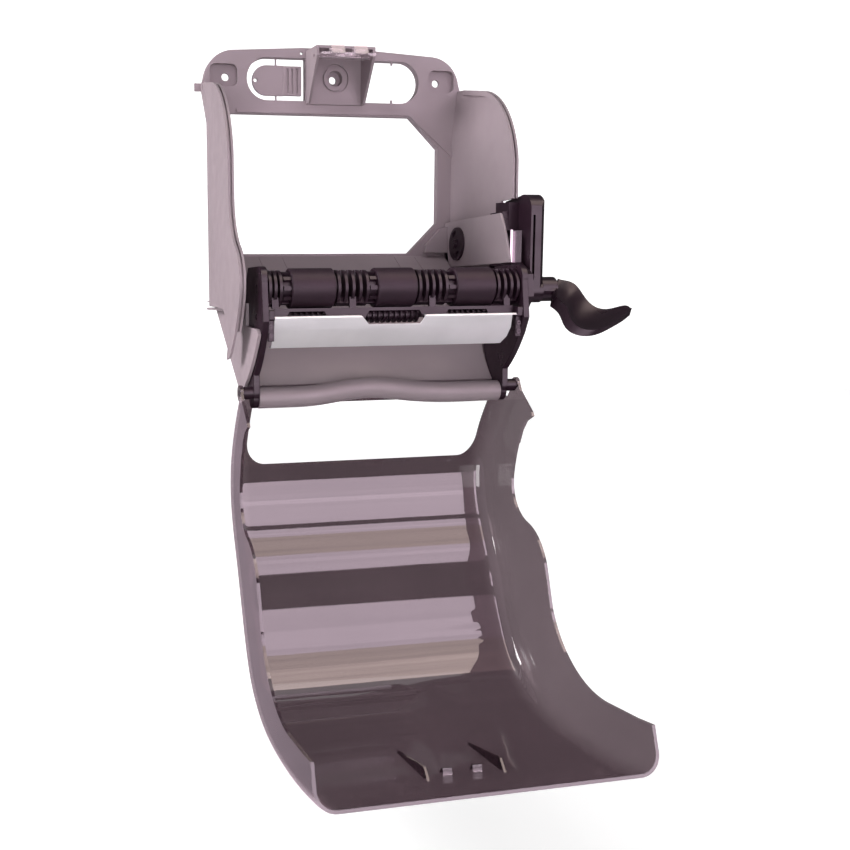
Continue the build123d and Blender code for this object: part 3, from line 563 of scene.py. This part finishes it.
@dataclass
class RoundedNode:
    """CAD node replaced by a copy of itself with rounded edges.

    Attributes:
        node: Name of the CAD node.
        width: Width of the rounding in metres.
        body: Body that it rides on.
    """

    node: str
    width: float
    body: Body

    def build(self, paint: Paint) -> bpy.types.Object:
        """Make the copy, round it and put it in the node's place.

        Args:
            paint: The built finishes.

        Returns:
            The new piece.
        """
        piece = link(merged_copy(self.node), f"{self.node}_moulded")
        soften(piece, self.width)
        paint.dress(piece, paint.slot_of[self.node])
        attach(piece, self.body.value)
        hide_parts(self.node)
        return piece


@dataclass
class SmokeCover:
    """Glossy cover: the CAD cover with even normals and a gentle wave across its panel.

    Lengths are in millimetres and angles in degrees, unless a line says otherwise.

    Attributes:
        node: Name of the CAD node.
        points: Y and Z of the shut panel's outer line, which is a spline through them.
        hinge: Y and Z of the hinge.
        open_angle: Turn from shut to laid open.
        half: Half the cover's width.
        corner: Outer radius of the corner between the panel and a side wall.
        wall: Wall thickness.
        waves: Steps in the panel: place along the line, half width, and rise inwards.
        sample: Spacing of the samples along the line.
        row_cuts: First and last sample with a cut across the panel, and the samples between.
        corner_cuts: Distances of the lengthwise cuts into each corner.
        crease: Edges sharper than this are rounded.
        edge: Width of that rounding in metres.
        follow: A face takes the even normals if its own agrees with them by more than this.
        sliver: Faces smaller than this, in square metres, always take the even normals.
    """

    node: str = "cover"
    points: tuple[tuple[float, float], ...] = (
        (-172, -328), (-211, -302), (-246, -266), (-260, -225), (-253, -165), (-244, -110),
        (-228, -52), (-190, -12), (-130, 13), (-62, 27), (-20, 31),
    )
    hinge: tuple[float, float] = (-166.0, -319.5)
    open_angle: float = 162.0
    half: float = 141.0
    corner: float = 18.0
    wall: float = 2.8
    waves: tuple[tuple[float, float, float], ...] = (
        (184, 9, 0.95), (255, 11, 1.0), (272, 12, 1.1), (312, 19, -2.4), (370, 30, -0.65),
    )
    sample: float = 0.4
    row_cuts: tuple[int, int, int] = (250, 1250, 12)
    corner_cuts: tuple[float, ...] = (0.5, 2.5, 5.0, 7.5, 10.0, 12.5, 14.0)
    crease: float = 40.0
    edge: float = 0.0005
    follow: float = 0.86
    sliver: float = 2e-7

    def curve(self) -> Curve:
        """Outer line of the open cover's panel in the side plane, in millimetres.

        Returns:
            Lengths along the line, points on it and its tangents.
        """
        turn = math.radians(self.open_angle)
        cos, sin = math.cos(turn), math.sin(turn)
        spots = np.array([
            (self.hinge[0] + (y - self.hinge[0]) * cos - (z - self.hinge[1]) * sin,
             self.hinge[1] + (y - self.hinge[0]) * sin + (z - self.hinge[1]) * cos)
            for y, z in self.points
        ])
        steps = np.hypot(*np.diff(spots, axis=0).T)
        knots = np.concatenate([[0.0], np.cumsum(steps)])
        count = len(knots)
        matrix = np.eye(count)
        right = np.zeros((count, 2))
        for i in range(1, count - 1):
            matrix[i, i - 1:i + 2] = steps[i - 1], 2 * (steps[i - 1] + steps[i]), steps[i]
            right[i] = 3 * (
                (spots[i + 1] - spots[i]) / steps[i] - (spots[i] - spots[i - 1]) / steps[i - 1]
            )
        bend = np.linalg.solve(matrix, right)
        lengths = np.arange(0.0, knots[-1], self.sample)
        index = np.clip(np.searchsorted(knots, lengths) - 1, 0, count - 2)
        along = (lengths - knots[index])[:, None]
        step = steps[index][:, None]
        chord = (spots[index + 1] - spots[index]) / step
        slope = chord - step * (2 * bend[index] + bend[index + 1]) / 3
        cubic = (bend[index + 1] - bend[index]) / (3 * step)
        line = spots[index] + slope * along + bend[index] * along ** 2 + cubic * along ** 3
        tangent = slope + 2 * bend[index] * along + 3 * cubic * along ** 2
        return lengths, line, tangent / np.linalg.norm(tangent, axis=1)[:, None]

    def wave(self, length: float) -> tuple[float, float]:
        """Height of the panel's wave and its slope.

        Args:
            length: Millimetres along the panel's line.

        Returns:
            Inward height in millimetres, and its slope.
        """
        height = slope = 0.0
        for centre, width, rise in self.waves:
            share = math.tanh((length - centre) / width)
            height += rise * (1 + share) / 2
            slope += rise * (1 - share ** 2) / (2 * width)
        return height, slope

    def place(self, spot: Vector, curve: Curve) -> tuple[float, float, Vector, Vector]:
        """Where a point lies on the cover.

        Args:
            spot: The point, in metres.
            curve: What curve() returned.

        Returns:
            Length along the panel's line, depth under the skin, tangent and inward direction.
        """
        lengths, line, tangents = curve
        flat = np.array((spot.y, spot.z)) / MM
        nearest = int(np.argmin(((line - flat) ** 2).sum(axis=1)))
        tangent = Vector((0, *tangents[nearest]))
        inward = Vector((0, tangents[nearest][1], -tangents[nearest][0]))
        depth = float((flat - line[nearest]) @ np.array((inward.y, inward.z)))
        return float(lengths[nearest]), depth, tangent, inward

    def direction(self, spot: Vector, curve: Curve) -> Vector:
        """Outward direction of the even skin at a point.

        Args:
            spot: The point, in metres.
            curve: What curve() returned.

        Returns:
            Unit vector, square to the panel, the side wall or the corner between them.
        """
        length, depth, tangent, inward = self.place(spot, curve)
        slope = self.wave(length)[1]
        inward = (inward - tangent * slope).normalized()
        side = math.copysign(1.0, spot.x)
        over = abs(spot.x) / MM - (self.half - self.corner)
        if over <= 0:
            return -inward
        if depth >= self.corner:
            return Vector((side, 0, 0))
        return (Vector((side * over, 0, 0)) - inward * (self.corner - depth)).normalized()

    def round_edges(self, mesh: bmesh.types.BMesh) -> None:
        """Round the cover's sharp edges.

        Args:
            mesh: The cover, changed here.
        """
        sharp = [
            edge for edge in mesh.edges
            if edge.is_manifold and edge.calc_face_angle(0.0) > math.radians(self.crease)
        ]
        bmesh.ops.bevel(
            mesh, geom=sharp, offset=self.edge, segments=2, profile=0.5, affect="EDGES",
            clamp_overlap=True, material=-1,
        )

    def cut(self, mesh: bmesh.types.BMesh, curve: Curve) -> None:
        """Cut the panel and its corners into rows and columns that can follow the wave.

        Args:
            mesh: The cover, changed here.
            curve: What curve() returned.
        """
        cuts = []
        for k in range(*self.row_cuts):
            y, z = curve[1][k] * MM
            cuts.append(((0, y, z), (0, *curve[2][k])))
        for over in self.corner_cuts:
            for side in (-1, 1):
                cuts.append(((side * (self.half - self.corner + over) * MM, 0, 0), (1, 0, 0)))
        for spot, way in cuts:
            bmesh.ops.bisect_plane(
                mesh, geom=mesh.verts[:] + mesh.edges[:] + mesh.faces[:], dist=CUT_DISTANCE,
                plane_co=spot, plane_no=way,
            )

    def bend(self, mesh: bmesh.types.BMesh, curve: Curve) -> None:
        """Move the panel by its wave, which fades out round the corners.

        Args:
            mesh: The cover, changed here.
            curve: What curve() returned.
        """
        for vert in mesh.verts:
            length, depth, _, inward = self.place(vert.co, curve)
            fade = min(1.0, max(0.0, (self.corner - depth) / (self.corner - self.wall)))
            vert.co += inward * (self.wave(length)[0] * fade * MM)

    def even_normals(self, data: bpy.types.Mesh, curve: Curve) -> None:
        """Give both skins the even skin's normals, and leave the rims their own.

        Args:
            data: The cover's mesh, changed here.
            curve: What curve() returned.
        """
        ways = [self.direction(vert.co, curve) for vert in data.vertices]
        normals: list[Vector] = [Vector()] * len(data.loops)
        for face in data.polygons:
            for loop in face.loop_indices:
                way = ways[data.loops[loop].vertex_index]
                lean = way.dot(face.normal)
                even = way if lean > 0 else -way
                follows = abs(lean) > self.follow or face.area < self.sliver
                normals[loop] = even if follows else face.normal.copy()
        data.normals_split_custom_set(normals)

    def build(self, paint: Paint) -> bpy.types.Object:
        """Make the waved copy, with its even normals, in the node's place.

        Args:
            paint: The built finishes.

        Returns:
            The new piece.
        """
        curve = self.curve()
        mesh = merged_copy(self.node)
        self.round_edges(mesh)
        self.cut(mesh, curve)
        self.bend(mesh, curve)
        piece = link(mesh, "smoke_cover")
        self.even_normals(piece.data, curve)
        paint.dress(piece, paint.slot_of[self.node])
        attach(piece, Body.COVER.value)
        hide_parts(self.node)
        return piece


@dataclass(frozen=True)
class StudioWhite:
    """Pale studio surface that photographs white, keeps the shadow and lets mirrors see past.

    Attributes:
        name: Name of the material.
        glow: Brightness that the camera alone sees.
        lit: Grey that other surfaces see.
        seen: Grey that the camera sees, shadows and all, under the glow.
    """

    name: str
    glow: float
    lit: float = 0.8
    seen: float = 0.5

    def build(self) -> bpy.types.Material:
        """Make the material of this finish.

        Returns:
            The material.
        """
        graph = NodeGraph(self.name)
        graph.tree.nodes.remove(graph.shader)
        lit = graph.add("ShaderNodeBsdfDiffuse", Color=(self.lit, self.lit, self.lit, 1))
        seen = graph.add("ShaderNodeBsdfDiffuse", Color=(self.seen, self.seen, self.seen, 1))
        glow = graph.add("ShaderNodeEmission", Color=(1, 1, 1, 1), Strength=self.glow)
        both = graph.add("ShaderNodeAddShader")
        graph.link(seen.outputs[0], both.inputs[0])
        graph.link(glow.outputs[0], both.inputs[1])
        clear = graph.add("ShaderNodeBsdfTransparent")
        mirrored = graph.choose("Is Glossy Ray", lit.outputs[0], clear.outputs[0])
        graph.surface(graph.choose("Is Camera Ray", mirrored, both.outputs[0]))
        return graph.material


@dataclass(frozen=True)
class Backdrop:
    """Flat white rectangle under or behind the object.

    Attributes:
        name: Name of the object.
        glow: Brightness that the camera alone sees.
        corner: One corner.
        along: Side from that corner.
        across: The other side from that corner.
    """

    name: str
    glow: float
    corner: Point
    along: Point
    across: Point

    def build(self) -> None:
        """Lay out the rectangle."""
        along, across = Vector(self.along), Vector(self.across)
        mesh = bmesh.new()
        mesh.faces.new([
            mesh.verts.new(Vector(self.corner) + side)
            for side in (Vector(), along, along + across, across)
        ])
        sheet = link(mesh, self.name)
        sheet.data.materials.append(StudioWhite(self.name + "_white", self.glow).build())


@dataclass(frozen=True)
class Lamp:
    """Soft rectangular lamp.

    Attributes:
        name: Name of the lamp.
        place: Where it stands.
        aim: Point that it faces.
        size: Width and height in metres.
        watts: Power.
    """

    name: str
    place: Point
    aim: Point
    size: tuple[float, float]
    watts: float

    def build(self) -> None:
        """Hang the lamp."""
        data = bpy.data.lights.new(self.name, "AREA")
        data.shape = "RECTANGLE"
        data.size, data.size_y = self.size
        data.energy = self.watts
        lamp = bpy.data.objects.new(self.name, data)
        lamp.location = self.place
        facing = Vector(self.aim) - Vector(self.place)
        lamp.rotation_euler = facing.to_track_quat("-Z", "Y").to_euler()
        bpy.context.scene.collection.objects.link(lamp)


@dataclass(frozen=True)
class Card:
    """Far level strip that only shows mirrored in glossy surfaces.

    Its edges are in degrees above the horizon straight ahead of the object, and its ends in
    metres to the right of the object's middle.

    Attributes:
        name: Name of the card.
        low: Lower edge.
        high: Upper edge.
        colour: Colour of the card.
        strength: Brightness of the card.
        left: Left end.
        right: Right end.
        contrast: Strength of the card's level streaks.
        centre: Point of the object that it stands round.
        distance: Metres from that point.
        step: Most degrees that one flat face takes in.
    """

    name: str
    low: float
    high: float
    colour: Colour
    strength: float
    left: float = -0.3
    right: float = 10.7
    contrast: float = 0.08
    centre: Point = (0.0, -0.14, -0.48)
    distance: float = 9.0
    step: float = 6.0

    def material(self) -> bpy.types.Material:
        """Glow with level streaks, which glossy rays alone see.

        Returns:
            The material.
        """
        graph = NodeGraph(self.name)
        graph.tree.nodes.remove(graph.shader)
        glow = graph.add("ShaderNodeEmission", Strength=self.strength)
        streaks = graph.noise(graph.place(scale=(0.06, 0.06, 1.0)), 2.4, 5.0, 0.62)
        streaked = graph.tint(streaks, self.colour, 1 - self.contrast, 1 + self.contrast)
        graph.link(streaked, glow.inputs["Color"])
        clear = graph.add("ShaderNodeBsdfTransparent")
        graph.surface(graph.choose("Is Glossy Ray", clear.outputs[0], glow.outputs[0]))
        return graph.material

    def build(self) -> None:
        """Bend the strip round the object and hang it."""
        mesh = bmesh.new()
        rows = []
        steps = max(1, math.ceil((self.high - self.low) / self.step))
        for k in range(steps + 1):
            rise = math.radians(self.low + (self.high - self.low) * k / steps)
            way = Vector((0, -math.cos(rise), math.sin(rise))) * self.distance
            rows.append([
                mesh.verts.new(Vector(self.centre) + way + Vector((end, 0, 0)))
                for end in (self.left, self.right)
            ])
        for lower, upper in zip(rows, rows[1:]):
            mesh.faces.new((lower[0], lower[1], upper[1], upper[0]))
        material = self.material()
        strip = link(mesh, self.name)
        strip.data.materials.append(material)
        strip.visible_shadow = False


FLOOR_Z = -0.70
FLOOR_FRONT = -5.0
WALL_Y = 3.0
WALL_HEIGHT = 6.0
STAGE_HALF = 6.0
BACKDROPS = (
    Backdrop(
        "studio_floor", 0.79, (-STAGE_HALF, FLOOR_FRONT, FLOOR_Z), (2 * STAGE_HALF, 0, 0),
        (0, WALL_Y - FLOOR_FRONT, 0),
    ),
    Backdrop(
        "studio_wall", 1.0, (-STAGE_HALF, WALL_Y, FLOOR_Z), (2 * STAGE_HALF, 0, 0),
        (0, 0, WALL_HEIGHT),
    ),
)
LAMPS = (
    Lamp("key_lamp", (-1.9, -0.16, 0.6), (0, -0.1, -0.1), (0.8, 0.8), 40),
    Lamp("front_lamp", (-0.35, -1.6, -0.6), (0, -0.1, -0.36), (0.7, 0.7), 10.5),
    Lamp("top_lamp", (0.2, -0.5, 1.6), (0, -0.1, -0.2), (1.4, 0.8), 4),
)
LILAC: Colour = (0.95, 0.78, 0.9)
TAN: Colour = (0.95, 0.76, 0.7)
CARDS = (
    Card("card_lilac_low", -12.5, 10.5, LILAC, 6.6),
    Card("card_streak_low", 10.5, 16, LILAC, 8.2),
    Card("card_lilac", 16, 36.0, LILAC, 7.0),
    Card("card_lilac_high", 39.2, 42, LILAC, 6.4),
    Card("card_streak_high", 42, 43.2, LILAC, 7.4),
    Card("card_lilac_top", 43.2, 45, LILAC, 6.2),
    Card("card_tan", 45, 54, TAN, 4.4, contrast=0.25),
    Card("card_tan_high", 54, 82, TAN, 5.8, contrast=0.25),
    Card("card_front", -30, 60, LILAC, 0.5, left=-30, right=-0.4),
    Card("card_floor", -88, -40, LILAC, 0.75, left=-20, right=20),
    Card("card_behind", 184, 220, LILAC, 0.55, left=-4, right=4),
)


@dataclass
class Studio:
    """Camera, backdrops, world, lamps and cards.

    Attributes:
        eye: Place of the camera.
        right: Direction to the right in the picture.
        up: Direction upwards in the picture.
        lens: Focal length in millimetres on a 36 mm wide sensor.
        shift: Sideways and upward shift of the picture.
        world_colour: Colour of the world.
        world_lit: Strength of the world's light on the object.
        world_mirrored: Strength that mirrors show.
        world_seen: Strength that the camera sees.
    """

    eye: Point = (-0.329069, -1.079410, -0.228924)
    right: Point = (0.97921, -0.20250, -0.01203)
    up: Point = (0.03890, 0.12923, 0.99085)
    lens: float = 42.353
    shift: tuple[float, float] = (0.21945, 0.0075)
    world_colour: Colour = (1, 0.985, 0.99)
    world_lit: float = 0.44
    world_mirrored: float = 0.13
    world_seen: float = 1.0

    def camera(self) -> None:
        """Camera at the photograph's place and angle."""
        data = bpy.data.cameras.new("camera")
        data.sensor_width = 36.0
        data.lens = self.lens
        data.shift_x, data.shift_y = self.shift
        data.clip_start = 0.02
        data.clip_end = 50
        camera = bpy.data.objects.new("camera", data)
        right = Vector(self.right).normalized()
        up = Vector(self.up)
        up = (up - right * up.dot(right)).normalized()
        back = right.cross(up)
        turn = Matrix((right, up, back)).transposed().to_4x4()
        camera.matrix_world = Matrix.Translation(self.eye) @ turn
        bpy.context.scene.collection.objects.link(camera)
        bpy.context.scene.camera = camera

    def world(self) -> None:
        """Even world: plain on the object, dim in mirrors and white to the camera."""
        world = bpy.data.worlds.new("studio_world")
        world.use_nodes = True
        tree = world.node_tree
        background = tree.nodes["Background"]
        background.inputs["Color"].default_value = (*self.world_colour, 1)
        path = tree.nodes.new("ShaderNodeLightPath")
        level = tree.nodes.new("ShaderNodeMapRange")
        level.inputs["To Min"].default_value = self.world_lit
        level.inputs["To Max"].default_value = self.world_mirrored
        tree.links.new(path.outputs["Is Glossy Ray"], level.inputs["Value"])
        seen = tree.nodes.new("ShaderNodeMapRange")
        seen.inputs["To Max"].default_value = self.world_seen
        tree.links.new(path.outputs["Is Camera Ray"], seen.inputs["Value"])
        tree.links.new(level.outputs["Result"], seen.inputs["To Min"])
        tree.links.new(seen.outputs["Result"], background.inputs["Strength"])
        bpy.context.scene.world = world

    def build(self) -> None:
        """Set up the whole studio."""
        self.camera()
        for backdrop in BACKDROPS:
            backdrop.build()
        self.world()
        for light in LAMPS + CARDS:
            light.build()
        bpy.context.scene.view_settings.view_transform = "Standard"


ROUNDED = (
    RoundedNode("back_frame", 0.0009, Body.FRAME),
    RoundedNode("lock_bracket", 0.0008, Body.FRAME),
    RoundedNode("break_off_key", 0.0005, Body.FRAME),
    RoundedNode("gear_panel", 0.0006, Body.FRAME),
    RoundedNode("lower_body", 0.0008, Body.FRAME),
    RoundedNode("left_end_plate", 0.0008, Body.FRAME),
    RoundedNode("right_end_plate", 0.0008, Body.FRAME),
    RoundedNode("lever_housing", 0.0007, Body.FRAME),
    RoundedNode("bar_blocks", 0.0005, Body.FRAME),
    RoundedNode("roller_cages", 0.0004, Body.FRAME),
    RoundedNode("grip_bar", 0.0008, Body.FRAME),
    RoundedNode("shelf_panel", 0.0004, Body.FRAME),
    RoundedNode("paper_chute", 0.0004, Body.FRAME),
    RoundedNode("drive_roller", 0.0004, Body.DRIVE),
    RoundedNode("sleeve_left", 0.0004, Body.DRIVE),
    RoundedNode("sleeve_centre", 0.0004, Body.DRIVE),
    RoundedNode("sleeve_right", 0.0004, Body.DRIVE),
    RoundedNode("pinch_roller", 0.0004, Body.PINCH),
    RoundedNode("stub_hub_right", 0.0005, Body.HUB_RIGHT),
    RoundedNode("stub_hub_left", 0.0005, Body.HUB_LEFT),
    RoundedNode("tear_bar", 0.0002, Body.FRAME),
    RoundedNode("lever", 0.0012, Body.LEVER),
    RoundedNode("lock_latch", 0.0004, Body.LATCH),
)


def main() -> None:
    """Build the studio and every piece in order."""
    Studio().build()
    paint = Paint()
    paint.dress_nodes()
    for rounded in ROUNDED:
        piece = rounded.build(paint)
        log.info("piece %s: %d faces", piece.name, len(piece.data.polygons))
    cover = SmokeCover().build(paint)
    log.info("piece %s: %d faces", cover.name, len(cover.data.polygons))
    bpy.context.view_layer.update()


if __name__ == "__main__":
    main()
